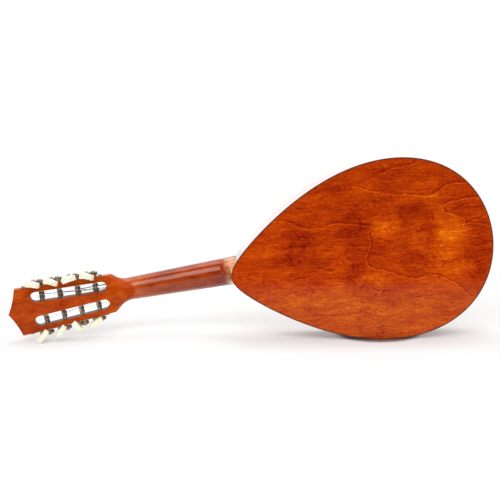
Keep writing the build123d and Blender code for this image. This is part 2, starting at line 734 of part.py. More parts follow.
def post_gear(s):
    """Wheel with slanted teeth on a hub, and the domed screw that holds it."""
    low = WORM_LINE - GEAR_WIDTH / 2
    high = WORM_LINE + GEAR_WIDTH / 2
    wheel = tube_along_z(GEAR_RADIUS, low, high)
    mouth = GEAR_RADIUS + 0.6
    gap = make_face(
        Polyline(
            (GEAR_ROOT_RADIUS, -0.47), (mouth, -1.0), (mouth, 1.0), (GEAR_ROOT_RADIUS, 0.47),
            close=True,
        )
    )
    cutter = Pos(0, 0, WORM_LINE) * Rot(-LEAD_ANGLE, 0, 0) * extrude(gap, amount=5, both=True)
    for tooth in range(GEAR_TEETH):
        wheel -= Rot(0, 0, 360 * tooth / GEAR_TEETH) * cutter
    wheel += tube_along_z(GEAR_HUB_RADIUS, TUNER_PLATE_THICKNESS + 0.15, low)
    wheel -= tube_along_z(GEAR_SEAT_RADIUS + 0.02, 0, WORM_LINE)
    wheel -= tube_along_z(GEAR_SCREW_RADIUS + 0.02, WORM_LINE - 1, high + 1)
    screw = Pos(0, 0, high) * round_head_screw(3.0, 1.7, GEAR_SCREW_RADIUS, 5.0)
    return [side_plane(s) * wheel, side_plane(s) * screw]


def worm_plane(s):
    """Frame of the worm at post s: Z runs from the front of the headstock to the button."""
    own = Plane(origin=(WORM_TO_POST, 0, WORM_LINE), x_dir=(1, 0, 0), z_dir=(0, 1, 0))
    return side_plane(s) * own.location


def worm_blank():
    """Worm with its journals, its front head and its rear collar, about Z."""
    ear_out = TUNER_PLATE_HEIGHT / 2
    ear_in = ear_out - EAR_THICKNESS
    height = THREAD_TURNS * PITCH
    root = WORM_CORE_RADIUS - 0.1
    path = Helix(pitch=PITCH, height=height, radius=root, center=(0, 0, -height / 2))
    rise = WORM_RADIUS - root
    ridge = Polygon((0, -0.55), (rise, -0.25), (rise, 0.25), (0, 0.55), align=None)
    start = Plane(origin=path @ 0, x_dir=(1, 0, 0), z_dir=path % 0)
    worm = tube_along_z(WORM_CORE_RADIUS, 0.1 - ear_in, ear_in - 0.1)
    worm += sweep(start * ridge, path=path, is_frenet=True)
    worm += tube_along_z(WORM_JOURNAL_RADIUS, -ear_out - 0.6, BUTTON_START + 6)
    worm += tube_along_z(2.5, -ear_out - 1.4, -ear_out - 0.15)
    worm += tube_along_z(2.6, ear_out + 0.15, ear_out + 1.3)
    return worm


def button_blank():
    """Flat oval button, widening to its rounded end, about Z."""
    wide = BUTTON_HALF_WIDTH
    length = BUTTON_LENGTH
    right = [
        Line((0, 0), (3.3, 0)),
        ThreePointArc((3.3, 0), (4.7, 4.6), (wide - 0.5, 8.4)),
        ThreePointArc((wide - 0.5, 8.4), (wide, BUTTON_WIDEST), (wide - 0.7, 11.8)),
        ThreePointArc((wide - 0.7, 11.8), (wide / 2, length - 0.8), (0, length)),
        Line((0, length), (0, 0)),
    ]
    half_face = make_face(Wire([piece.edge() for piece in right]))
    face = half_face + mirror(half_face, about=Plane.YZ)
    thick = 2 * BUTTON_HALF_THICKNESS
    paddle = extrude(Plane.XZ * face, amount=BUTTON_HALF_THICKNESS, both=True)
    end_view = RectangleRounded(2 * wide, thick, BUTTON_EDGE_RADIUS)
    side_view = Pos(0, length / 2) * RectangleRounded(thick, length, BUTTON_EDGE_RADIUS)
    paddle &= extrude(end_view, amount=length + 1)
    paddle &= extrude(Plane.YZ * side_view, amount=2 * wide, both=True)
    paddle -= tube_along_z(WORM_JOURNAL_RADIUS + 0.02, -1, 6)
    return Pos(0, 0, BUTTON_START) * paddle


# ---------------------------------------------------------------- resting pose
def lowest_of_buttons(slope):
    """Lowest point of the treble buttons' wide ends when the tail is raised by slope."""
    low = 0.0
    for s, turn in zip(POST_S, BUTTON_TURNS_TREBLE):
        for step in range(120):
            t = 2 * pi * step / 120
            edge = BUTTON_EDGE_RADIUS
            across = copysign(BUTTON_HALF_WIDTH - edge, cos(t)) + edge * cos(t)
            thick = copysign(BUTTON_HALF_THICKNESS - edge, sin(t)) + edge * sin(t)
            angle = radians(turn)
            local = (
                across * cos(angle) - thick * sin(angle),
                across * sin(angle) + thick * cos(angle),
                BUTTON_START + BUTTON_WIDEST,
            )
            point = worm_plane(s) * Pos(*local)
            x, z = point.position.X, -point.position.Z
            low = min(low, x * sin(slope) + z * cos(slope))
    return low


def lowest_of_body(slope):
    """Lowest point of the body outline when the tail is raised by slope."""
    points = [outline_point(pi + pi * k / 720) for k in range(721)]
    return min(x * sin(slope) + z * cos(slope) for x, z in points)


def resting_slope():
    """Angle at which the body and the lowest button touch the floor together."""
    low, high = radians(2), radians(16)
    for _ in range(40):
        middle = (low + high) / 2
        if lowest_of_buttons(middle) > lowest_of_body(middle):
            low = middle
        else:
            high = middle
    return (low + high) / 2


# ---------------------------------------------------------------- assembly
def fixed_pieces():
    """Every piece that doesn't turn, by node name."""
    pieces = {}
    pieces["back_plate"] = back_plate()
    pieces["soundboard"] = soundboard()
    pieces["rib_bass"], pieces["rib_treble"] = ribs()
    pieces["neck_block"] = neck_block()
    pieces["tail_block"] = tail_block()
    pieces["linings"] = linings()
    pieces["top_braces"] = top_braces()
    pieces["back_braces"] = back_braces()
    pieces["back_binding"] = binding(0, PLATE_THICKNESS)
    pieces["top_binding"] = binding(FRONT - PLATE_THICKNESS, FRONT)
    pieces["rosette"] = rosette()
    pieces["pickguard"] = pickguard()
    pieces["neck"], pieces["headstock"] = neck_and_headstock()
    pieces["fingerboard"] = fingerboard()
    pieces["frets"] = frets()
    pieces["position_dots"] = position_dots()
    pieces["nut"] = nut()
    pieces["bridge_base"], pieces["bridge_saddle"] = bridge()
    pieces["strings"] = [string(*line) for line in string_lines()]
    pieces["tailpiece"] = tailpiece()
    pieces["tailpiece_screws"] = tailpiece_screws()
    pieces["end_pin"] = end_pin()
    pieces["tuner_plate_bass"] = tuner_plate()
    pieces["tuner_plate_treble"] = treble(tuner_plate())
    screws = plate_screws()
    pieces["tuner_plate_screws"] = screws + [treble(screw) for screw in screws]
    return pieces


def turning_pieces():
    """The worms, buttons, posts and gears of both sides, by node name."""
    worm = worm_blank()
    button = button_blank()
    pieces = {}
    for number, s in enumerate(POST_S):
        on_worm = worm_plane(s)
        sets = (("bass", BUTTON_TURNS_BASS), ("treble", BUTTON_TURNS_TREBLE))
        for side, turns in sets:
            place = treble if side == "treble" else (lambda shape: shape)
            name = f"{side}_{number + 1}"
            pieces[f"worm_{name}"] = place(on_worm * worm)
            pieces[f"button_{name}"] = place(on_worm * Rot(0, 0, turns[number]) * button)
            pieces[f"post_{name}"] = place(string_post(s))
            pieces[f"gear_{name}"] = [place(solid) for solid in post_gear(s)]
    return pieces


def rest(pieces):
    """Turn every piece into the resting frame, with the origin under the middle of the box."""
    slope = resting_slope()
    turned = {}
    for name, shape in pieces.items():
        solids = shape if isinstance(shape, list) else [shape]
        solids = [solid for part in solids for solid in part.solids()]
        turned[name] = [Rot(0, -degrees(slope), 0) * solid for solid in solids]
    boxes = [solid.bounding_box() for solids in turned.values() for solid in solids]
    middle_x = (min(b.min.X for b in boxes) + max(b.max.X for b in boxes)) / 2
    middle_y = (min(b.min.Y for b in boxes) + max(b.max.Y for b in boxes)) / 2
    floor = min(b.min.Z for b in boxes)
    move = Pos(-middle_x, -middle_y, -floor)
    print(f"slope {degrees(slope):.6f} origin {middle_x:.6f} {middle_y:.6f} {floor:.6f}")
    return {name: [move * solid for solid in solids] for name, solids in turned.items()}


def main():
    os.makedirs("parts", exist_ok=True)
    pieces = fixed_pieces()
    pieces.update(turning_pieces())
    for name, solids in rest(pieces).items():
        node = solids[0] if len(solids) == 1 else Compound(children=solids)
        node.label = name
        export_step(node, f"parts/{name}.step")


if __name__ == "__main__":
    main()
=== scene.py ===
"""Looks of a flat-backed mandolin that stands on its side, seen from the back."""

import math
import random

import bpy
from mathutils import Matrix, Vector


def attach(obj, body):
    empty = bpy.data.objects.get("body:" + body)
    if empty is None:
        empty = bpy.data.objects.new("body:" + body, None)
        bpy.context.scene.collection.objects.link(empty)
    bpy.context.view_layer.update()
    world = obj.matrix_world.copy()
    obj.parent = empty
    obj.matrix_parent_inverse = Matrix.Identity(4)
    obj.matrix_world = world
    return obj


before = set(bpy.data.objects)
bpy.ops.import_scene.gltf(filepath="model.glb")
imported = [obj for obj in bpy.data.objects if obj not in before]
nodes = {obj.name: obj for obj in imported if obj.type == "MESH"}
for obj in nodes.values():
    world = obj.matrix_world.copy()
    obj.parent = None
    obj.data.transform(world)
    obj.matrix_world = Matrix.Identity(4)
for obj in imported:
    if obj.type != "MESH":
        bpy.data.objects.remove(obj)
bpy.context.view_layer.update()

# The design frame of the CAD, in mm: x from the tip of the body to its tail, y from the back
# to the front, z towards the bass side. The shared frame is that one turned about Y and moved.
# Slope and origin are copied from what the CAD's source prints, and change with it.
SLOPE = math.radians(9.190917)
ORIGIN = Vector((23.423411, 34.268840, -82.568551))
FRONT = 58.0                        # height of the soundboard above the back
SIDES = ("bass", "treble")
POSTS = (1, 2, 3, 4)
NUT_X = -146.987
BRIDGE_X = NUT_X + 335.0
BRIDGE_TOP = 9.5                    # above the soundboard
BRIDGE_SPREAD = 36.0                # from the first course to the fourth
PAIR_GAP = 2.4                      # between the two strings of a course
SOUNDHOLE_X = 106.0
ROSETTE_RADII = (28.0, 33.0)
HEAD_TILT = math.radians(10.0)
HEAD_THICKNESS = 15.5
HEAD_HALF_WIDTH = 25.5              # at the first post
HEAD_TAPER = 0.047
NUT_LENGTH = 4.0                    # the headstock tilts back behind it
RAIL_WIDTH = 6.7                    # wood between a string slot and the side
SLOT_WIDTH = 13.0
POST_S = (34.0, 57.0, 80.0, 103.0)  # along the headstock, from the nut
POST_RADIUS = 3.0
# Radius of the string on each post, the post nearest the nut first.
STRING_RADII = {"bass": (0.5, 0.5, 0.33, 0.33), "treble": (0.14, 0.14, 0.20, 0.20)}
COURSE_RADII = (0.5, 0.33, 0.20, 0.14)
HOOK_X = 303.0
HOOK_HEIGHT = 3.4                   # above the soundboard
HOOK_RADIUS = 0.85
LOOP_WIRE = 0.15                    # radius of the wire looped over the hooks


def row(x, y, z):
    """A point of the design frame, in metres of the shared frame."""
    across, up = math.cos(SLOPE), math.sin(SLOPE)
    return (Vector((x * across - z * up, y, x * up + z * across)) - ORIGIN) / 1000


def linear(red, green, blue):
    """A display colour, 0 to 255, as a linear one."""
    def channel(value):
        value /= 255
        return value / 12.92 if value <= 0.04045 else ((value + 0.055) / 1.055) ** 2.4

    return (channel(red), channel(green), channel(blue), 1.0)


# ---------------------------------------------------------------- material building
class Shader:
    """One material, with short ways to add nodes to its tree."""

    def __init__(self, name, **settings):
        self.material = bpy.data.materials.new(name)
        self.material.use_nodes = True
        self.tree = self.material.node_tree
        self.tree.nodes.clear()
        self.output = self.tree.nodes.new("ShaderNodeOutputMaterial")
        self.surface = self.add("ShaderNodeBsdfPrincipled", **{"IOR": 1.5})
        for key, value in settings.items():
            self.put(self.surface, key.replace("_", " "), value)
        self.tree.links.new(self.surface.outputs[0], self.output.inputs[0])

    def put(self, node, key, value):
        socket = node.inputs[key]
        if isinstance(value, bpy.types.NodeSocket):
            self.tree.links.new(value, socket)
        else:
            socket.default_value = value

    def add(self, kind, settings=(), **inputs):
        node = self.tree.nodes.new(kind)
        for key, value in dict(settings).items():
            setattr(node, key, value)
        for key, value in inputs.items():
            self.put(node, key.replace("_", " "), value)
        return node

    def math(self, operation, first, second=0.0, third=0.0, clamp=False):
        node = self.add("ShaderNodeMath", {"operation": operation, "use_clamp": clamp})
        for index, value in enumerate((first, second, third)):
            self.put(node, index, value)
        return node.outputs[0]

    def place(self, location=(0, 0, 0), scale=(1, 1, 1), source=None):
        """Design coordinates in metres, moved and scaled."""
        if source is None:
            if not hasattr(self, "design"):
                turned = Matrix.Rotation(SLOPE, 3, "Y") @ (ORIGIN / 1000)
                coordinates = self.add("ShaderNodeTexCoord").outputs["Object"]
                node = self.add("ShaderNodeMapping", Vector=coordinates)
                self.put(node, "Rotation", (0, SLOPE, 0))
                self.put(node, "Location", turned)
                self.design = node.outputs[0]
            source = self.design
        node = self.add("ShaderNodeMapping", Vector=source)
        self.put(node, "Location", location)
        self.put(node, "Scale", scale)
        return node.outputs[0]

    def warped(self, source, amount, scale=55.0, detail=3.0):
        """Coordinates pushed about by a cloudy noise, amount in metres along x and z."""
        drift = self.add("ShaderNodeTexNoise", Vector=source, Scale=scale, Detail=detail)
        centred = self.add("ShaderNodeVectorMath", {"operation": "SUBTRACT"})
        self.put(centred, 0, drift.outputs["Color"])
        self.put(centred, 1, (0.5, 0.5, 0.5))
        moved = self.add("ShaderNodeVectorMath", {"operation": "MULTIPLY_ADD"})
        self.put(moved, 0, centred.outputs[0])
        self.put(moved, 1, (amount[0], 0.0, amount[1]))
        self.put(moved, 2, source)
        return moved.outputs[0]

    def noise(self, vector, scale=1.0, detail=3.0, rough=0.5, distortion=0.0):
        return self.add(
            "ShaderNodeTexNoise", Vector=vector, Scale=scale, Detail=detail,
            Roughness=rough, Distortion=distortion,
        ).outputs[0]

    def spread(self, value, low, high, out_low=0.0, out_high=1.0, smooth=True):
        kind = "SMOOTHSTEP" if smooth else "LINEAR"
        node = self.add("ShaderNodeMapRange", {"interpolation_type": kind})
        self.put(node, "Value", value)
        self.put(node, "From Min", low)
        self.put(node, "From Max", high)
        self.put(node, "To Min", out_low)
        self.put(node, "To Max", out_high)
        return node.outputs[0]

    def ramp(self, value, *stops):
        node = self.add("ShaderNodeValToRGB", Fac=value)
        elements = node.color_ramp.elements
        while len(elements) < len(stops):
            elements.new(0.5)
        for element, (position, colour) in zip(elements, stops):
            element.position = position
            element.color = colour
        return node.outputs[0]

    def mix(self, share, first, second, blend="MIX"):
        node = self.add("ShaderNodeMix", {"data_type": "RGBA", "blend_type": blend})
        for index, value in ((0, share), (6, first), (7, second)):
            self.put(node, index, value)
        return node.outputs[2]

    def bump(self, height, distance, strength=1.0):
        node = self.add("ShaderNodeBump", Height=height, Distance=distance, Strength=strength)
        return node.outputs[0]

    def set(self, **inputs):
        for key, value in inputs.items():
            self.put(self.surface, key.replace("_", " "), value)
        return self.material


def patch(shader, source, x, z, half_x, half_z):
    """A soft oval on the back, centred at x, z in mm: 1 in its middle, 0 at its edge."""
    node = shader.add("ShaderNodeMapping", {"vector_type": "TEXTURE"}, Vector=source)
    shader.put(node, "Location", (x / 1000, 0, z / 1000))
    shader.put(node, "Scale", (half_x / 1000, 10, half_z / 1000))
    ball = shader.add("ShaderNodeTexGradient", {"gradient_type": "SPHERICAL"})
    shader.put(ball, "Vector", node.outputs[0])
    return ball.outputs[1]


def figure_line(shader, axes, points, width):
    """A thin line of the veneer's figure through points in mm, along x or along z.

    Gives the line itself and the darker shade on its one side."""
    run, rise = axes
    ends = [pick(point[0] for point in points) / 1000 for pick in (min, max)]
    sides = [pick(point[1] for point in points) / 1000 for pick in (min, max)]
    along = shader.spread(run, ends[0], ends[1], smooth=False)
    curve = shader.add("ShaderNodeFloatCurve", Value=along)
    knots = curve.mapping.curves[0].points
    ordered = sorted(points)
    while len(knots) < len(ordered):
        knots.new(0.5, 0.5)
    for knot, (forward, sideways) in zip(knots, ordered):
        x = (forward / 1000 - ends[0]) / (ends[1] - ends[0])
        y = (sideways / 1000 - sides[0]) / (sides[1] - sides[0])
        knot.location = (x, 0.1 + 0.8 * y)
    curve.mapping.update()
    height = shader.spread(curve.outputs[0], 0.1, 0.9, sides[0], sides[1], smooth=False)
    away = shader.math("SUBTRACT", rise, height)
    line = shader.spread(shader.math("ABSOLUTE", away), width * 0.25, width, 1.0, 0.0)
    shade = shader.math("ABSOLUTE", shader.math("SUBTRACT", away, width * 2.0))
    shade = shader.spread(shade, width * 0.3, width * 2.0, 1.0, 0.0)
    inside = shader.math("MULTIPLY", shader.spread(along, 0.0, 0.04), shader.spread(along, 1.0, 0.96))
    return shader.math("MULTIPLY", line, inside), shader.math("MULTIPLY", shade, inside)


# The figure of the back, in mm. A patch is x, z, half length, half height and how much lighter
# it is. A line is its points: x, z where it runs along the back and z, x where it runs across.
BACK_PATCHES = (
    (90, 31, 17, 26, -0.22), (75, 9, 17, 13, -0.17), (107, 29, 11, 16, -0.14),
    (163, 28, 19, 46, -0.28), (137, 88, 26, 12, -0.14), (133, 63, 24, 10, -0.10),
    (102, -4, 34, 12, -0.14), (69, -14, 30, 9, -0.12), (250, 45, 17, 11, -0.36),
    (228, 36, 20, 18, -0.24), (256, 14, 13, 30, -0.20), (232, -20, 20, 16, -0.22),
    (190, 0, 18, 16, -0.26), (178, 38, 12, 8, -0.26), (316, -14, 20, 40, -0.18),
    (313, -50, 20, 22, -0.12), (290, 80, 30, 14, -0.12), (201, -66, 60, 14, -0.14),
    (303, 36, 22, 13, -0.20), (228, 84, 34, 11, -0.10), (150, -24, 16, 22, -0.22),
    (275, -74, 40, 12, -0.12), (160, -48, 26, 14, -0.14), (215, 96, 40, 7, -0.10),
    (43, 26, 30, 12, 0.12), (76, 64, 24, 6, 0.14), (178, 82, 24, 13, 0.13),
    (276, 14, 24, 27, 0.38), (268, -16, 22, 24, 0.30), (205, 30, 21, 13, 0.40),
    (241, 15, 11, 20, 0.20), (262, 52, 16, 10, 0.26), (262, 76, 30, 8, 0.18),
    (181, -33, 20, 11, 0.26), (242, -11, 12, 18, 0.16), (298, 6, 18, 24, 0.20),
    (285, -38, 22, 12, 0.26), (24, 0, 24, 10, 0.08), (140, 12, 30, 9, 0.08),
    (225, -46, 60, 7, 0.14), (110, -42, 60, 14, 0.14), (250, -60, 40, 14, 0.16),
    (170, -66, 50, 16, 0.18), (60, -24, 36, 10, 0.10), (215, -80, 40, 12, 0.16),
)
LIGHT_LINES_ALONG = (
    ((52, 61), (67, 60), (79, 58), (88, 53), (97, 47), (109, 43), (122, 42),
     (133, 44), (143, 44), (158, 41), (172, 37), (186, 33)),
    ((160, 88), (170, 87), (182, 81), (194, 76), (208, 71), (223, 67), (238, 64),
     (253, 61), (265, 59), (273, 63), (282, 67), (292, 69), (307, 67), (318, 64)),
    ((173, -17), (185, -23), (194, -25), (205, -32), (217, -38), (230, -42),
     (243, -42), (253, -42), (263, -46), (272, -52), (282, -60), (290, -71), (300, -79)),
    ((278, 43), (281, 45), (291, 47), (307, 48), (322, 46), (331, 44)),
    ((277, 37), (287, 31), (299, 26)),
    ((297, 16), (305, 17), (318, 20), (333, 23)),
    ((205, 97), (210, 98), (225, 101), (238, 101), (256, 103)),
    ((109, -9), (113, -10), (123, -15), (129, -16)),
    ((172, -43), (176, -48), (182, -51), (188, -46)),
)
LIGHT_LINES_ACROSS = (
    ((34, 185), (29, 181), (25, 179), (14, 180), (5, 176), (-2, 172),
     (-11, 171), (-19, 177)),
    ((45, 282), (41, 276), (36, 277)),
    ((27, 298), (21, 301), (15, 297)),
    ((-43, 187), (-50, 184), (-54, 178)),
)
DARK_LINES_ACROSS = (
    ((50, 82), (47, 86), (39, 91), (32, 95), (24, 97), (15, 94)),
    ((40, 97), (36, 99), (25, 104), (16, 106)),
    ((21, 72), (18, 74), (9, 78), (1, 69)),
    ((-26, 141), (-33, 151), (-41, 152), (-50, 147)),
    ((-28, 168), (-38, 163), (-44, 157), (-62, 158)),
    ((16, 160), (13, 158), (3, 154), (-8, 160), (-20, 157)),
    ((16, 152), (3, 148), (-8, 154), (-20, 150)),
    ((64, 158), (50, 168), (38, 171), (24, 164)),
    ((52, 232), (44, 222), (34, 226), (20, 240), (4, 236)),
    ((54, 246), (46, 258), (34, 262), (22, 256)),
)
PATCH_REACH = 1.4                   # how far a patch fades out, to its half sizes
LIGHTER, DARKER = 0.64, 0.52        # how strongly the two sorts of patches count
GRAIN_TURN = math.radians(-6.0)     # the grain runs nearly level as the body stands


def back_tone(shader):
    """How light the veneer is from 0 to 1, the mask of the painted floor reflection low on the back, and
    the fibres' height.
    """
    place = shader.place()
    wandering = shader.warped(place, (0.030, 0.016))
    tone = 0.52
    for x, z, half_x, half_z, weight in BACK_PATCHES:
        oval = patch(shader, wandering, x, z, half_x * PATCH_REACH, half_z * PATCH_REACH)
        oval = shader.spread(oval, 0.0, 0.9)
        strength = weight * (LIGHTER if weight > 0 else DARKER)
        tone = shader.math("MULTIPLY_ADD", oval, strength, tone)
    # Height above the ground, for the paler, bluer lower part: a painted reflection of the white floor in
    # the lacquer.
    parts = shader.add("ShaderNodeSeparateXYZ", Vector=place).outputs
    level = shader.math("MULTIPLY", parts[0], math.sin(SLOPE))
    level = shader.math("MULTIPLY_ADD", parts[2], math.cos(SLOPE), level)
    level = shader.math("SUBTRACT", level, ORIGIN.z / 1000)
    low = shader.spread(level, 0.074, 0.050)
    tone = shader.math("MULTIPLY_ADD", low, 0.07, tone)
    turned = shader.add("ShaderNodeMapping", Vector=shader.warped(place, (0.0, 0.012), 26.0, 2.0))
    shader.put(turned, "Rotation", (0, GRAIN_TURN, 0))
    grain = turned.outputs[0]
    # Broad clouds, streaks, fine fibres and short dashes, each drawn out along the grain.
    clouds = shader.noise(shader.place(scale=(24, 1, 95), source=grain), 1.0, 5.0, 0.65, 0.5)
    tone = shader.math("MULTIPLY_ADD", clouds, 0.70, shader.math("SUBTRACT", tone, 0.35))
    streaks = shader.noise(shader.place(scale=(62, 1, 460), source=grain), 1.0, 3.0, 0.7, 0.6)
    tone = shader.math("MULTIPLY_ADD", streaks, 0.76, shader.math("SUBTRACT", tone, 0.38))
    fibres = shader.noise(shader.place(scale=(230, 1, 1100), source=grain), 1.0, 3.0, 0.7, 0.6)
    tone = shader.math("MULTIPLY_ADD", fibres, 0.92, shader.math("SUBTRACT", tone, 0.46))
    dashes = shader.noise(shader.place(scale=(150, 1, 620), source=grain), 1.0, 2.0, 0.6, 1.0)
    tone = shader.math("MULTIPLY_ADD", shader.spread(dashes, 0.58, 0.74), -0.26, tone)
    tone = shader.math("MULTIPLY_ADD", shader.spread(dashes, 0.40, 0.28), 0.16, tone)
    # Contours in a few places, where the knife cut through a swelling of the log.
    swells = shader.noise(shader.place(scale=(13, 1, 17)), 1.0, 3.0, 0.5)
    rings = shader.math("SINE", shader.math("MULTIPLY", swells, 150.0))
    where = shader.spread(shader.noise(shader.place(scale=(21, 1, 21)), 1.0, 1.0), 0.52, 0.66)
    rings = shader.math("MULTIPLY", shader.spread(rings, 0.55, 1.0), where)
    tone = shader.math("MULTIPLY_ADD", rings, -0.14, tone)
    parts = shader.add("ShaderNodeSeparateXYZ", Vector=shader.warped(place, (0.005, 0.005), 90.0, 4.0))
    x, z = parts.outputs[0], parts.outputs[2]
    # The lines of the figure, stronger in some stretches than in others.
    broken = shader.noise(shader.place(scale=(120, 1, 120)), 1.0, 2.0)
    strength = shader.spread(broken, 0.30, 0.60, 0.09, 0.21)
    for axes, lines in (((x, z), LIGHT_LINES_ALONG), ((z, x), LIGHT_LINES_ACROSS)):
        for points in lines:
            line, shade = figure_line(shader, axes, points, 0.0013)
            tone = shader.math("MULTIPLY_ADD", line, strength, tone)
            tone = shader.math("MULTIPLY_ADD", shade, -0.13, tone)
    weakness = shader.spread(broken, 0.35, 0.62, -0.17, -0.02)
    for points in DARK_LINES_ACROSS:
        line, _ = figure_line(shader, (z, x), points, 0.0026)
        tone = shader.math("MULTIPLY_ADD", line, weakness, tone)
    return tone, low, shader.math("MULTIPLY_ADD", streaks, 0.5, fibres)


def back_veneer():
    """Stained, lacquered plywood veneer with the wandering figure of rotary-cut wood."""
    shader = Shader(
        "back_veneer", Roughness=0.45, Specular_IOR_Level=0.03,
        Coat_Weight=0.27, Coat_Roughness=0.10,
    )
    tone, low, height = back_tone(shader)
    colour = shader.ramp(
        tone,
        (0.00, linear(84, 12, 2)), (0.25, linear(140, 28, 2)), (0.50, linear(178, 54, 3)),
        (0.72, linear(205, 78, 3)), (0.88, linear(226, 104, 6)), (1.00, linear(242, 140, 24)),
    )
    # Painted reflection of the white floor: the lower part paler and bluer.
    colour = shader.mix(low, colour, (0.95, 1.15, 1.3, 1), "MULTIPLY")
    return shader.set(Base_Color=colour, Normal=shader.bump(height, 0.00005, 0.4))


def painted_slot_shade(shader):
    """1 on the walls inside the string slots and between them, in metres: painted shade of the recesses.

    It has no upper limit along the headstock, so it also covers most of the end face."""
    skin, slots_start = 0.0002, 0.016
    parts = shader.add("ShaderNodeSeparateXYZ", Vector=shader.place()).outputs
    lean, rise = math.sin(HEAD_TILT), math.cos(HEAD_TILT)
    away = shader.math("SUBTRACT", NUT_X / 1000, parts[0])
    front = (FRONT + NUT_LENGTH * math.tan(HEAD_TILT)) / 1000
    above = shader.math("SUBTRACT", parts[1], front)
    along = shader.math("MULTIPLY_ADD", above, -lean, shader.math("MULTIPLY", away, rise))
    depth = shader.math("MULTIPLY_ADD", above, rise, shader.math("MULTIPLY", away, lean))
    half = (HEAD_HALF_WIDTH - RAIL_WIDTH - HEAD_TAPER * POST_S[0]) / 1000 + skin / 2
    edge = shader.math("MULTIPLY_ADD", along, HEAD_TAPER, half)
    inner = shader.math("LESS_THAN", shader.math("ABSOLUTE", parts[2]), edge)
    below = shader.math("LESS_THAN", depth, -skin)
    over = shader.math("GREATER_THAN", depth, skin - HEAD_THICKNESS / 1000)
    inner = shader.math("MULTIPLY", inner, shader.math("MULTIPLY", below, over))
    return shader.math("MULTIPLY", inner, shader.math("GREATER_THAN", along, slots_start))


def stained_wood(
    name, stops, stretch=1.0, coat=0.8, rough=0.42, coat_rough=0.12, spec=0.4, slots=False, heel=False
):
    """Stained and lacquered wood with its grain along the instrument.

    With slots it has painted shade on the walls of the string slots, and with heel painted shade and a
    painted reflection on the neck's heel."""
    shader = Shader(
        name, Roughness=rough, Coat_Weight=coat, Coat_Roughness=coat_rough, Specular_IOR_Level=spec
    )
    clouds = shader.noise(shader.place(scale=(22 * stretch, 30, 55)), 1.0, 4.0, 0.6, 0.5)
    streaks = shader.noise(shader.place(scale=(60 * stretch, 420, 520)), 1.0, 4.0, 0.65, 0.4)
    fibres = shader.noise(shader.place(scale=(220 * stretch, 1700, 2100)), 1.0, 2.0, 0.6)
    tone = shader.math("MULTIPLY_ADD", clouds, 0.85, -0.38)
    tone = shader.math("MULTIPLY_ADD", streaks, 0.66, tone)
    tone = shader.math("MULTIPLY_ADD", fibres, 0.24, tone)
    height = shader.math("MULTIPLY_ADD", streaks, 0.6, fibres)
    along = shader.add("ShaderNodeSeparateXYZ", Vector=shader.place()).outputs[0]
    if slots:
        tone = shader.math("ADD", tone, shader.spread(along, -0.200, -0.165, 0.03, 0.09))
    if heel:
        # Painted shade where the shaft swells into the heel; the wood also grows lighter towards the nut.
        painted_heel_shade = shader.math(
            "MULTIPLY", shader.spread(along, -0.045, -0.015), shader.spread(along, -0.005, -0.010)
        )
        tone = shader.math("MULTIPLY_ADD", painted_heel_shade, -0.10, tone)
        tone = shader.math("ADD", tone, shader.spread(along, -0.080, -0.125, 0.04, 0.16))
    colour = shader.ramp(tone, *stops)
    if heel:
        # Painted reflection on the heel next to the body: pale tan streaks where the gloss would show the
        # white surroundings.
        gloss_streaks = shader.noise(shader.place(scale=(90, 60, 200)), 1.0, 2.0, 0.5, 1.5)
        painted_heel_gloss = shader.math(
            "MULTIPLY", shader.spread(along, -0.010, -0.003), shader.spread(gloss_streaks, 0.36, 0.58, 0.2, 0.9)
        )
        colour = shader.mix(painted_heel_gloss, colour, linear(214, 142, 84))
    if slots:
        # Painted shade: the slot walls darker grey-brown.
        colour = shader.mix(painted_slot_shade(shader), colour, linear(92, 60, 46))
    return shader.set(Base_Color=colour, Normal=shader.bump(height, 0.00006, 0.45))


def spruce():
    """Straight-grained softwood under amber lacquer."""
    shader = Shader("spruce", Roughness=0.4, Coat_Weight=0.7, Coat_Roughness=0.16)
    sway = shader.noise(shader.place(scale=(9, 1, 14)), 1.0, 2.0)
    across = shader.add("ShaderNodeSeparateXYZ", Vector=shader.place()).outputs[2]
    swayed = shader.math("MULTIPLY_ADD", sway, 0.006, across)
    pitch = shader.math("MULTIPLY", swayed, 720.0)
    pitch = shader.math("ADD", pitch, shader.noise(shader.place(scale=(1, 1, 60)), 1.0, 1.0))
    saw = shader.math("FRACT", pitch)
    late = shader.spread(saw, 0.45, 0.95)
    late = shader.math("MULTIPLY", late, shader.spread(saw, 1.0, 0.96))
    broad = shader.noise(shader.place(scale=(7, 1, 34)), 1.0, 3.0)
    silk = shader.noise(shader.place(scale=(900, 1, 160)), 1.0, 2.0)
    tone = shader.math("MULTIPLY_ADD", late, -0.34, 0.72)
    tone = shader.math("MULTIPLY_ADD", broad, 0.4, shader.math("SUBTRACT", tone, 0.2))
    tone = shader.math("MULTIPLY_ADD", silk, 0.12, shader.math("SUBTRACT", tone, 0.06))
    colour = shader.ramp(
        tone,
        (0.1, linear(158, 98, 42)), (0.45, linear(206, 148, 78)), (0.9, linear(232, 186, 116)),
    )
    return shader.set(Base_Color=colour, Normal=shader.bump(late, 0.00005, 0.35))


def raw_wood():
    """Unfinished wood inside the body."""
    shader = Shader("raw_wood", Roughness=0.8, Specular_IOR_Level=0.3)
    streaks = shader.noise(shader.place(scale=(30, 300, 420)), 1.0, 4.0, 0.6)
    colour = shader.ramp(streaks, (0.25, linear(150, 108, 66)), (0.75, linear(206, 168, 118)))
    return shader.set(Base_Color=colour, Normal=shader.bump(streaks, 0.0001, 0.5))


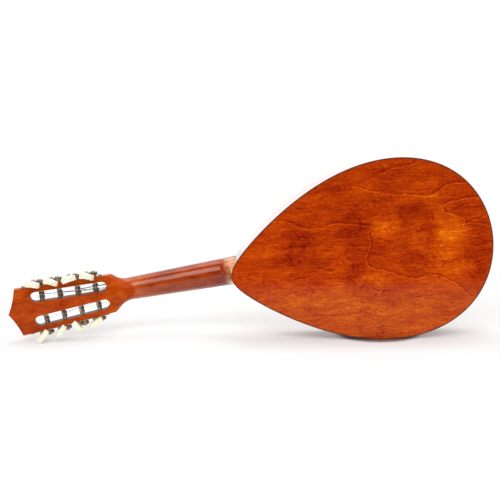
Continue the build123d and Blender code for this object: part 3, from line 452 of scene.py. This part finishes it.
def dark_hardwood(name, dark, light, rough, coat=0.0):
    """Rosewood or ebony with long open pores."""
    shader = Shader(name, Coat_Weight=coat, Coat_Roughness=0.08)
    streaks = shader.noise(shader.place(scale=(24, 160, 300)), 1.0, 4.0, 0.6, 0.6)
    pores = shader.noise(shader.place(scale=(160, 2200, 2600)), 1.0, 2.0, 0.7)
    holes = shader.spread(pores, 0.34, 0.42)
    colour = shader.mix(holes, dark, shader.ramp(streaks, (0.3, dark), (0.7, light)))
    gloss = shader.spread(streaks, 0.2, 0.8, rough - 0.08, rough + 0.12)
    return shader.set(
        Base_Color=colour, Roughness=gloss, Normal=shader.bump(holes, 0.00012, 0.5)
    )


def aged_metal(name, clean, dull, rough, tarnish=0.5, scale=260):
    """Plated metal with tarnish in clouds and small specks."""
    shader = Shader(name, Metallic=1.0)
    clouds = shader.noise(shader.place(), scale, 5.0, 0.65)
    specks = shader.spread(shader.noise(shader.place(), scale * 7, 2.0), 0.56, 0.7)
    share = shader.spread(clouds, 0.62 - tarnish * 0.4, 0.80 - tarnish * 0.2)
    share = shader.math("MULTIPLY_ADD", specks, 0.35 * tarnish, share, clamp=True)
    colour = shader.mix(share, clean, dull)
    gloss = shader.spread(share, 0.0, 1.0, rough, rough + 0.3)
    scratches = shader.noise(shader.place(scale=(300, 3000, 900)), 1.0, 2.0)
    height = shader.math("MULTIPLY_ADD", share, -0.5, scratches)
    return shader.set(Base_Color=colour, Roughness=gloss, Normal=shader.bump(height, 0.00003, 0.5))


def ivory_plastic():
    """Cream celluloid with faint layers, a little dirt and light inside it."""
    shader = Shader(
        "ivory_plastic", Roughness=0.28, Coat_Weight=0.4, Coat_Roughness=0.1,
        Subsurface_Weight=0.25, Subsurface_Scale=0.003,
    )
    shader.put(shader.surface, "Subsurface Radius", (1.0, 0.7, 0.4))
    layers = shader.noise(shader.place(scale=(120, 700, 120)), 1.0, 3.0, 0.6, 0.3)
    dirt = shader.spread(shader.noise(shader.place(), 420.0, 4.0, 0.7), 0.60, 0.78)
    colour = shader.ramp(
        layers, (0.2, linear(236, 222, 186)), (0.5, linear(248, 241, 218)), (0.8, linear(252, 248, 232))
    )
    colour = shader.mix(shader.math("MULTIPLY", dirt, 0.14), colour, linear(196, 166, 112))
    return shader.set(Base_Color=colour, Normal=shader.bump(dirt, 0.00004, 0.4))


def bone():
    """Polished bone with fine pores."""
    shader = Shader("bone", Roughness=0.45)
    shader.put(shader.surface, "Subsurface Weight", 0.2)
    shader.put(shader.surface, "Subsurface Scale", 0.002)
    grain = shader.noise(shader.place(scale=(500, 500, 1400)), 1.0, 3.0)
    colour = shader.ramp(grain, (0.3, linear(214, 198, 160)), (0.7, linear(238, 228, 200)))
    return shader.set(Base_Color=colour, Normal=shader.bump(grain, 0.00004, 0.4))


def tortoiseshell():
    """Celluloid with dark blots in amber."""
    shader = Shader("tortoiseshell", Roughness=0.2, Coat_Weight=0.6, Coat_Roughness=0.06)
    blots = shader.noise(shader.place(scale=(60, 60, 90)), 1.0, 4.0, 0.55, 1.4)
    colour = shader.ramp(
        blots, (0.36, linear(30, 8, 4)), (0.5, linear(92, 26, 8)), (0.62, linear(176, 84, 20))
    )
    ripple = shader.noise(shader.place(), 90.0, 2.0)
    return shader.set(Base_Color=colour, Normal=shader.bump(ripple, 0.0002, 0.15))


def celluloid(name, dark, light, coat=0.5):
    """Edge strip, slightly uneven from scraping and handling."""
    shader = Shader(name, Coat_Weight=coat, Coat_Roughness=0.15, Specular_IOR_Level=0.5 * coat + 0.1)
    clouds = shader.noise(shader.place(), 120.0, 4.0, 0.6)
    colour = shader.ramp(clouds, (0.3, dark), (0.75, light))
    gloss = shader.spread(clouds, 0.2, 0.8, 0.25, 0.5)
    return shader.set(Base_Color=colour, Roughness=gloss, Normal=shader.bump(clouds, 0.0001, 0.3))


def rosette_rings():
    """Three dark rings and two pale ones with small blocks around the soundhole."""
    shader = Shader("rosette_rings", Roughness=0.4, Coat_Weight=0.7, Coat_Roughness=0.15)
    centred = shader.place(location=(-SOUNDHOLE_X / 1000, 0, 0))
    parts = shader.add("ShaderNodeSeparateXYZ", Vector=centred)
    flat = shader.add("ShaderNodeCombineXYZ", X=parts.outputs[0], Y=parts.outputs[2])
    radius = shader.add("ShaderNodeVectorMath", {"operation": "LENGTH"}, Vector=flat.outputs[0])
    inside, outside = (size / 1000 for size in ROSETTE_RADII)
    across = shader.spread(radius.outputs["Value"], inside, outside, smooth=False)
    turn = shader.math("ARCTAN2", parts.outputs[2], parts.outputs[0])
    blocks = shader.math("FRACT", shader.math("MULTIPLY", turn, 72 / math.tau))
    blocks = shader.math("GREATER_THAN", blocks, 0.5)
    wood = shader.noise(shader.place(scale=(400, 400, 400)), 1.0, 3.0)
    pale = shader.ramp(wood, (0.3, linear(206, 172, 112)), (0.7, linear(228, 202, 150)))
    dark = shader.ramp(wood, (0.3, linear(22, 12, 8)), (0.7, linear(48, 26, 16)))
    middle = shader.mix(blocks, pale, dark)
    edge = shader.math("ABSOLUTE", shader.math("SUBTRACT", across, 0.5))
    rings = shader.math("GREATER_THAN", shader.math("FRACT", shader.math("MULTIPLY", edge, 9.0)), 0.5)
    bands = shader.mix(rings, pale, dark)
    inner = shader.math("LESS_THAN", edge, 0.2)
    colour = shader.mix(inner, bands, middle)
    return shader.set(Base_Color=colour, Normal=shader.bump(wood, 0.00004, 0.3))


def pearl():
    """Mother of pearl with sheets of slightly different colour."""
    shader = Shader("pearl", Roughness=0.22, Coat_Weight=0.5, Coat_Roughness=0.08)
    sheets = shader.noise(shader.place(scale=(260, 260, 700)), 1.0, 4.0, 0.6, 1.2)
    colour = shader.ramp(
        sheets, (0.3, linear(176, 186, 180)), (0.5, linear(228, 224, 212)), (0.7, linear(206, 196, 204))
    )
    return shader.set(Base_Color=colour, Normal=shader.bump(sheets, 0.00005, 0.3))


def string_metal():
    """Steel strings: the two bass courses are wrapped with fine bronze wire."""
    shader = Shader("string_metal", Metallic=1.0)
    clouds = shader.noise(shader.place(), 300.0, 4.0, 0.6)
    parts = shader.add("ShaderNodeSeparateXYZ", Vector=shader.place()).outputs
    wound = shader.math("GREATER_THAN", parts[2], 0.0)
    turns = shader.math("SINE", shader.math("MULTIPLY", parts[0], math.tau / 0.00022))
    bronze = shader.ramp(clouds, (0.35, linear(92, 72, 52)), (0.7, linear(150, 124, 92)))
    steel = shader.ramp(clouds, (0.35, linear(120, 114, 104)), (0.7, linear(190, 186, 178)))
    height = shader.math("MULTIPLY_ADD", shader.math("MULTIPLY", turns, wound), 0.5, clouds)
    gloss = shader.spread(clouds, 0.3, 0.7, 0.24, 0.45)
    return shader.set(
        Base_Color=shader.mix(wound, steel, bronze), Roughness=gloss,
        Normal=shader.bump(height, 0.00004, 0.5),
    )


def winding_metal():
    """Tarnished string wire wound on the posts."""
    shader = Shader("winding_metal", Metallic=0.5)
    clouds = shader.noise(shader.place(), 420.0, 4.0, 0.65)
    colour = shader.ramp(clouds, (0.35, linear(94, 80, 70)), (0.7, linear(168, 148, 126)))
    gloss = shader.spread(clouds, 0.3, 0.7, 0.35, 0.55)
    return shader.set(Base_Color=colour, Roughness=gloss, Normal=shader.bump(clouds, 0.00005, 0.5))


NECK_STOPS = (
    (0.10, linear(80, 20, 3)), (0.38, linear(134, 42, 6)), (0.62, linear(166, 64, 12)),
    (0.92, linear(202, 98, 34)),
)
HEAD_STOPS = (
    (0.10, linear(90, 20, 2)), (0.38, linear(150, 47, 4)), (0.62, linear(182, 70, 8)),
    (0.92, linear(210, 100, 24)),
)
RIB_STOPS = (
    (0.10, linear(84, 22, 6)), (0.40, linear(132, 42, 12)), (0.65, linear(166, 64, 18)),
    (0.92, linear(196, 90, 30)),
)


def dress(material, *names):
    """Give CAD nodes a material in every slot."""
    for name in names:
        slots = nodes[name].material_slots
        for index in range(max(1, len(slots))):
            if len(slots) <= index:
                nodes[name].data.materials.append(material)
            else:
                slots[index].material = material


def each(kind):
    """The names of the eight nodes of one kind."""
    return [f"{kind}_{side}_{number}" for side in SIDES for number in POSTS]


def dress_everything():
    """Give every CAD node its material."""
    nickel = aged_metal(
        "aged_nickel", linear(186, 180, 166), linear(112, 94, 66), 0.26, 0.55
    )
    brass = aged_metal(
        "dull_brass", linear(190, 172, 146), linear(112, 94, 74), 0.40, 0.6
    )
    steel = aged_metal(
        "screw_steel", linear(170, 166, 158), linear(96, 84, 70), 0.30, 0.5
    )
    dress(back_veneer(), "back_plate")
    ribs = stained_wood("rib_veneer", RIB_STOPS, coat=1.0, rough=0.25, coat_rough=0.06, spec=0.5)
    dress(ribs, "rib_bass", "rib_treble")
    dress(stained_wood("neck_wood", NECK_STOPS, coat=0.8, coat_rough=0.07, spec=0.05, heel=True), "neck")
    dress(stained_wood("head_wood", HEAD_STOPS, stretch=1.4, coat=0.12, spec=0.03, slots=True), "headstock")
    dress(spruce(), "soundboard")
    dress(raw_wood(), "neck_block", "tail_block", "linings", "top_braces", "back_braces")
    dress(celluloid("edge_strip", linear(86, 36, 20), linear(126, 62, 40), 0.12), "back_binding")
    dress(celluloid("cream_strip", linear(206, 184, 138), linear(232, 216, 176)), "top_binding")
    dress(rosette_rings(), "rosette")
    dress(tortoiseshell(), "pickguard")
    dress(dark_hardwood("rosewood", linear(38, 20, 12), linear(84, 46, 28), 0.4, 1.0), "fingerboard")
    dress(dark_hardwood("ebony", linear(20, 14, 11), linear(44, 32, 26), 0.38), "bridge_base")
    dress(bone(), "nut", "bridge_saddle")
    dress(pearl(), "position_dots")
    plating = aged_metal(
        "dull_plating", linear(182, 178, 168), linear(138, 126, 104), 0.30, 0.35, scale=120
    )
    dress(nickel, "frets", "tuner_plate_bass", "tuner_plate_treble")
    dress(plating, "tailpiece")
    dress(steel, "tailpiece_screws", "tuner_plate_screws")
    dress(celluloid("black_button", linear(16, 13, 12), linear(40, 32, 28)), "end_pin")
    dress(brass, *each("gear"))
    rollers = aged_metal("roller_metal", linear(206, 198, 184), linear(146, 128, 104), 0.40, 0.5)
    dress(rollers, *each("post"), *each("worm"))
    dress(ivory_plastic(), *each("button"))
    dress(string_metal(), "strings")


def soften(width, *names):
    """Break the sharp edges of CAD nodes, width in mm."""
    for name in names:
        weld = nodes[name].modifiers.new("weld", "WELD")
        weld.merge_threshold = 0.000002
        edge = nodes[name].modifiers.new("edges", "BEVEL")
        edge.width = width / 1000
        edge.segments = 2
        edge.limit_method = "ANGLE"
        edge.angle_limit = math.radians(40)
        edge.harden_normals = True


# ---------------------------------------------------------------- string ends
def head_point(s, z, n):
    """Design point on the headstock: s from the nut, z across, n above its front face."""
    lean, rise = math.sin(HEAD_TILT), math.cos(HEAD_TILT)
    return (
        NUT_X - s * rise - n * lean,
        FRONT + NUT_LENGTH * math.tan(HEAD_TILT) - s * lean + n * rise,
        z,
    )


def tube(name, points, radius, body, material, sides=8):
    """A round wire through design points, with closed ends, carried by a body."""
    path = [row(*point) for point in points]
    count = len(path)
    heading = [
        (path[min(spot + 1, count - 1)] - path[max(spot - 1, 0)]).normalized() for spot in range(count)
    ]
    across = heading[0].orthogonal().normalized()
    corners = []
    for place, ahead in zip(path, heading):
        across = (across - ahead * across.dot(ahead)).normalized()
        other = ahead.cross(across)
        for side in range(sides):
            turn = math.tau * side / sides
            corners.append(place + (across * math.cos(turn) + other * math.sin(turn)) * radius / 1000)
    faces = [tuple(range(sides))[::-1], tuple(range(len(corners) - sides, len(corners)))]
    for ring in range(count - 1):
        for side in range(sides):
            here, beside = ring * sides + side, ring * sides + (side + 1) % sides
            faces.append((here, beside, beside + sides, here + sides))
    mesh = bpy.data.meshes.new(name)
    mesh.from_pydata([tuple(corner) for corner in corners], [], faces)
    for face in mesh.polygons:
        face.use_smooth = face.index > 1
    mesh.materials.append(material)
    wire = bpy.data.objects.new(name, mesh)
    bpy.context.scene.collection.objects.link(wire)
    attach(wire, body)


def turns_on_post(s, z, radius, width, way, start=0.0):
    """Points of a helix round the post at s, starting at z and moving sideways by width.

    It starts on the front of the post and runs away from the nut first."""
    reach = POST_RADIUS + radius + 0.04
    turns = max(2.0, width / (2.1 * radius))
    steps = int(turns * 18)
    middle = -HEAD_THICKNESS / 2
    points = []
    for step in range(steps + 1):
        share = step / steps
        angle = start + math.tau * turns * share
        points.append(
            head_point(
                s + reach * math.sin(angle), z + way * width * share,
                middle + reach * math.cos(angle),
            )
        )
    return points


def loose_end(s, z, length, lean):
    """The short end of a string that sticks out of the back of its post."""
    middle = -HEAD_THICKNESS / 2
    points = []
    for step in range(13):
        share = step / 12
        out = POST_RADIUS * 0.5 + length * share
        bend = lean * share * share * length
        points.append(head_point(s + bend, z + bend * 0.4, middle - out))
    return points


def curl(s, z, reach, loops, drift, seed):
    """A thin end that wanders in curls along its slot, away from the post."""
    draw = random.Random(seed)
    phase = draw.uniform(0, math.tau)
    points = []
    steps = 48
    for step in range(steps + 1):
        share = step / steps
        turn = phase + math.tau * loops * share
        size = reach * (0.4 + 0.6 * share)
        points.append(
            head_point(
                s + drift * share + size * (math.cos(turn) - math.cos(phase)),
                z + size * 0.8 * (math.sin(turn) - math.sin(phase)),
                -HEAD_THICKNESS / 2 - POST_RADIUS - 0.6 - 2.0 * math.sin(math.pi * share),
            )
        )
    return points


# Curls of the string ends in the slots: size in mm, how many, and how far they wander.
CURLS = {
    ("bass", 0): (2.4, 1.6, 9.0), ("bass", 1): (2.8, 2.2, -10.0), ("bass", 3): (3.0, 1.3, 7.0),
    ("bass", 2): (2.2, 1.2, 8.0), ("treble", 3): (2.0, 0.8, 6.0),
}


def post_windings(dark):
    """Each string's turns and loose end on its post, and the curls of some ends."""
    ends = ((5.0, 0.3), (4.2, -0.4), (5.2, 0.5), (4.6, 0.2))
    for side, sign in (("bass", 1), ("treble", -1)):
        for number, s in enumerate(POST_S):
            radius = STRING_RADII[side][number]
            z = sign * (HEAD_HALF_WIDTH + HEAD_TAPER * (s - POST_S[0]) - RAIL_WIDTH - SLOT_WIDTH / 2)
            z += sign * (1.2 if number == 3 else 0.0)
            body = f"post_{side}_{number + 1}"
            for label, width, way, start in (
                ("in", 4.0, -sign, 0.0), ("out", 2.8, sign, math.pi)
            ):
                points = turns_on_post(s, z + way * 2.3 * radius, radius, width, way, start)
                tube(f"winding_{label}_{side}_{number + 1}", points, radius, body, dark)
            length, lean = ends[number]
            points = loose_end(s, z, length, lean)
            tube(f"loose_end_{side}_{number + 1}", points, max(radius, 0.2), body, dark)
            if (side, number) in CURLS:
                reach, loops, drift = CURLS[side, number]
                points = curl(s, z, reach, loops, drift, number)
                tube(f"curl_{side}_{number + 1}", points, 0.18, body, dark, sides=6)


def hook_loop(z, string):
    """Points of a string's end: once round its hook, then twisted round the string itself."""
    ring = HOOK_RADIUS + LOOP_WIRE + 0.02
    points = [
        (HOOK_X + ring * math.cos(angle), FRONT + HOOK_HEIGHT, z + ring * math.sin(angle))
        for angle in (math.tau * (step + 12) / 24 for step in range(25))
    ]
    slope = (BRIDGE_TOP - HOOK_HEIGHT) / (BRIDGE_X - HOOK_X)
    around = string + LOOP_WIRE + 0.01
    steps, twists, length = 60, 5, 5.0
    for step in range(1, steps + 1):
        x = HOOK_X - ring - length * step / steps
        height = FRONT + HOOK_HEIGHT + (x - HOOK_X) * slope
        turn = math.tau * twists * step / steps
        grow = min(1.0, step / 6)
        points.append(
            (x, height + grow * around * math.sin(turn), z + grow * around * math.cos(turn))
        )
    return points


def string_ends():
    """Windings and loose ends on the posts, and the loops on the tailpiece's hooks."""
    dark, bright = winding_metal(), string_metal()
    bright.name = "loop_metal"
    post_windings(dark)
    for course, radius in enumerate(COURSE_RADII):
        for letter, half in (("a", 0.5), ("b", -0.5)):
            z = (0.5 - course / 3) * BRIDGE_SPREAD + half * PAIR_GAP
            points = hook_loop(z, radius)
            tube(f"hook_loop_{course + 1}_{letter}", points, LOOP_WIRE, "mandolin", bright, sides=6)


# ---------------------------------------------------------------- room
def floor():
    """Pale table that ends a little in front of the instrument and turns into white further off."""
    mesh = bpy.data.meshes.new("floor")
    x, front, rear = 4.0, -0.42, 4.0
    mesh.from_pydata([(-x, front, 0), (x, front, 0), (x, rear, 0), (-x, rear, 0)], [], [(0, 1, 2, 3)])
    sheet = bpy.data.objects.new("floor", mesh)
    bpy.context.scene.collection.objects.link(sheet)
    shader = Shader("white_paper", Roughness=0.8, Specular_IOR_Level=0.2)
    place = shader.add("ShaderNodeTexCoord").outputs["Object"]
    mottle = shader.noise(place, 3.0, 3.0)
    pale = shader.ramp(mottle, (0.3, (0.80, 0.80, 0.80, 1)), (0.7, (0.82, 0.82, 0.82, 1)))
    # A dark oval painted under the body's edge, in place of the deep shadow of the contact.
    under = shader.add("ShaderNodeMapping", {"vector_type": "TEXTURE"}, Vector=place)
    shader.put(under, "Location", (0.167, -0.006, 0))
    shader.put(under, "Scale", (0.052, 0.043, 1))
    spot = shader.add("ShaderNodeVectorMath", {"operation": "LENGTH"}, Vector=under.outputs[0])
    spot = shader.spread(spot.outputs["Value"], 0.84, 1.14, 0.90, 0.0)
    shader.set(Base_Color=shader.mix(spot, pale, (0.13, 0.040, 0.026, 1)))
    # The floor glows white: plainly white further off, and in front of the body from a quarter next to it
    # to most of it further forward, as painted light that lifts the shadows there; the dark oval is kept
    # out of it.
    away = shader.add("ShaderNodeVectorMath", {"operation": "LENGTH"}, Vector=place)
    far = shader.spread(away.outputs["Value"], 0.30, 0.75)
    depth = shader.add("ShaderNodeSeparateXYZ", Vector=place).outputs[1]
    near = shader.spread(depth, -0.045, -0.115, 0.25, 0.88)
    share = shader.math("MULTIPLY", near, shader.math("SUBTRACT", 1.0, spot))
    glow = shader.add("ShaderNodeEmission", Color=(1, 1, 1, 1), Strength=1.0)
    both = shader.add("ShaderNodeMixShader", Fac=shader.math("MAXIMUM", share, far))
    shader.put(both, 1, shader.surface.outputs[0])
    shader.put(both, 2, glow.outputs[0])
    shader.tree.links.new(both.outputs[0], shader.output.inputs[0])
    mesh.materials.append(shader.material)


def soft_light(name, place, aim, width, height, power):
    """A rectangular area light, sizes in metres and power in watts."""
    data = bpy.data.lights.new(name, "AREA")
    data.shape = "RECTANGLE"
    data.size, data.size_y = width, height
    data.energy = power
    lamp = bpy.data.objects.new(name, data)
    bpy.context.scene.collection.objects.link(lamp)
    lamp.location = place
    lamp.rotation_euler = (Vector(aim) - Vector(place)).to_track_quat("-Z", "Y").to_euler()


def surroundings():
    """White behind the object, dim behind the camera, and plain white where the camera looks."""
    world = bpy.data.worlds.new("studio")
    bpy.context.scene.world = world
    world.use_nodes = True
    tree = world.node_tree
    tree.nodes.clear()
    make = tree.nodes.new
    direction = make("ShaderNodeTexCoord")
    parts = make("ShaderNodeSeparateXYZ")
    tree.links.new(direction.outputs["Generated"], parts.inputs[0])
    shade = make("ShaderNodeMapRange")
    shade.interpolation_type = "SMOOTHSTEP"
    shade.inputs["From Min"].default_value = -0.25
    shade.inputs["From Max"].default_value = 0.45
    shade.inputs["To Min"].default_value = 0.02
    shade.inputs["To Max"].default_value = 1.25
    tree.links.new(parts.outputs[1], shade.inputs["Value"])
    room = make("ShaderNodeBackground")
    tree.links.new(shade.outputs[0], room.inputs["Strength"])
    plain = make("ShaderNodeBackground")
    plain.inputs["Strength"].default_value = 1.0
    plain.inputs["Color"].default_value = (1, 1, 1, 1)
    room.inputs["Color"].default_value = (1, 1, 1, 1)
    seen = make("ShaderNodeLightPath")
    pick = make("ShaderNodeMixShader")
    tree.links.new(seen.outputs["Is Camera Ray"], pick.inputs[0])
    tree.links.new(room.outputs[0], pick.inputs[1])
    tree.links.new(plain.outputs[0], pick.inputs[2])
    output = make("ShaderNodeOutputWorld")
    tree.links.new(pick.outputs[0], output.inputs[0])


def camera():
    """At the height of the headstock, looking slightly down at the back."""
    distance, turn, rise, roll = 1.100, math.radians(-1.007), math.radians(8.108), math.radians(-0.739)
    aim = Vector((0.0002, -0.0353, 0.1184))
    back = Vector((math.sin(turn) * math.cos(rise), -math.cos(turn) * math.cos(rise), math.sin(rise)))
    right = Vector((math.cos(turn), math.sin(turn), 0))
    up = back.cross(right)
    data = bpy.data.cameras.new("camera")
    data.sensor_width = 36.0
    data.lens = 63.09
    data.clip_start, data.clip_end = 0.05, 50
    seat = bpy.data.objects.new("camera", data)
    bpy.context.scene.collection.objects.link(seat)
    basis = Matrix((right, up, back)).transposed() @ Matrix.Rotation(roll, 3, "Z")
    seat.matrix_world = Matrix.Translation(aim + back * distance) @ basis.to_4x4()
    bpy.context.scene.camera = seat


def lights():
    """A soft box above and a wide one over the camera."""
    soft_light("overhead", (0.1, 0.15, 1.5), (0, 0, 0), 1.6, 1.0, 9)
    soft_light("front", (-0.3, -1.6, 1.5), (0, 0, 0.1), 3.0, 1.3, 54)


bpy.context.scene.view_settings.view_transform = "Standard"
dress_everything()
soften(0.5, "headstock")
soften(0.3, "bridge_base", "nut")
string_ends()
floor()
surroundings()
lights()
camera()
